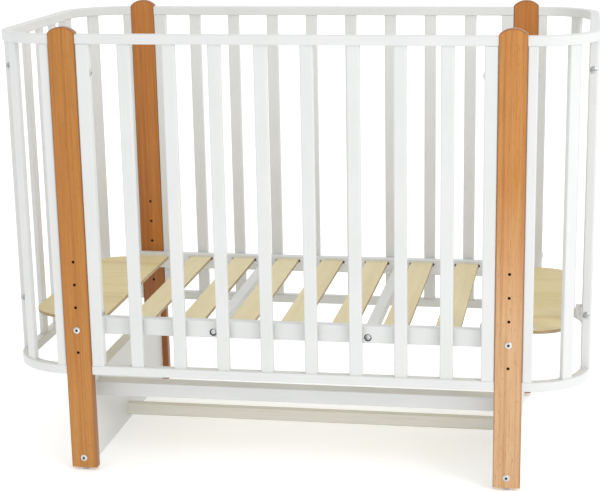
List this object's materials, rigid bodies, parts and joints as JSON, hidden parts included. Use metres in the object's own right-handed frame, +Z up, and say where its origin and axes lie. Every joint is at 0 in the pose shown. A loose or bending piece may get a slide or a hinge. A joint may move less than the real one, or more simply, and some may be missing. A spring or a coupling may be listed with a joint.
{
  "type": "baby crib",
  "caption": "Wooden baby crib with rounded ends, upright slats, flat arched legs and a slatted mattress base that bolts on at several heights.",
  "frame": {"origin": "on the floor under the middle of the crib, in the plane of the glides' undersides", "axes": "+Z up; +X along the crib to the right; -Y towards the side with the set-forward stretchers, the front"},
  "size_m": [1.248, 0.636, 0.9609],
  "materials": {
    "beech": "clear satin varnish, grain along the leg",
    "white_paint": "satin white paint on wood",
    "plywood": "bare birch plywood, sanded",
    "bare_wood": "pale unfinished wood",
    "zinc_steel": "zinc-plated, hexagon sockets",
    "insert_metal": "plain brass",
    "bracket_steel": "grey",
    "glide_plastic": "light grey, matt"
  },
  "bodies": {
    "frame": {"corner_front_left_bottom_rail": "white_paint", "corner_front_left_end_stile": "white_paint", "corner_front_left_leg_stile": "white_paint", "corner_front_left_slat": "white_paint", "corner_front_left_top_rail": "white_paint", "corner_front_right_bottom_rail": "white_paint", "corner_front_right_end_stile": "white_paint", "corner_front_right_leg_stile": "white_paint", "corner_front_right_slat": "white_paint", "corner_front_right_top_rail": "white_paint", "corner_rear_left_bottom_rail": "white_paint", "corner_rear_left_end_stile": "white_paint", "corner_rear_left_leg_stile": "white_paint", "corner_rear_left_slat": "white_paint", "corner_rear_left_top_rail": "white_paint", "corner_rear_right_bottom_rail": "white_paint", "corner_rear_right_end_stile": "white_paint", "corner_rear_right_leg_stile": "white_paint", "corner_rear_right_slat": "white_paint", "corner_rear_right_top_rail": "white_paint", "end_board_left": "white_paint", "end_board_right": "white_paint", "end_brackets": "bracket_steel", "end_joint_bolts": "zinc_steel", "end_joint_nuts": "zinc_steel", "foot_bolts": "zinc_steel", "front_bottom_rail": "white_paint", "front_slats": "white_paint", "front_stile_left": "white_paint", "front_stile_right": "white_paint", "front_top_rail": "white_paint", "glides": "glide_plastic", "left_end_bars": "white_paint", "left_end_bottom_rail": "white_paint", "left_end_top_rail": "white_paint", "leg_front_left": "beech", "leg_front_right": "beech", "leg_joint_bolts": "zinc_steel", "leg_rear_left": "beech", "leg_rear_right": "beech", "rear_bottom_rail": "white_paint", "rear_slats": "white_paint", "rear_stile_left": "white_paint", "rear_stile_right": "white_paint", "rear_top_rail": "white_paint", "right_end_bars": "white_paint", "right_end_bottom_rail": "white_paint", "right_end_top_rail": "white_paint", "stretcher_lower": "bare_wood", "stretcher_upper": "white_paint"},
    "mattress_base": {"base_bolts": "zinc_steel", "base_cross_bar_left": "white_paint", "base_cross_bar_right": "white_paint", "base_end_panel_left": "plywood", "base_end_panel_right": "plywood", "base_inserts": "insert_metal", "base_side_rail_front": "white_paint", "base_side_rail_rear": "white_paint", "base_slats": "plywood", "cross_bar_bolts": "zinc_steel"}
  },
  "joints": [
    {"name": "base_level_slide", "type": "slide", "parent": "frame", "child": "mattress_base", "axis": [0, 0, 1], "range_m": [-0.05, 0.15]}
  ]
}
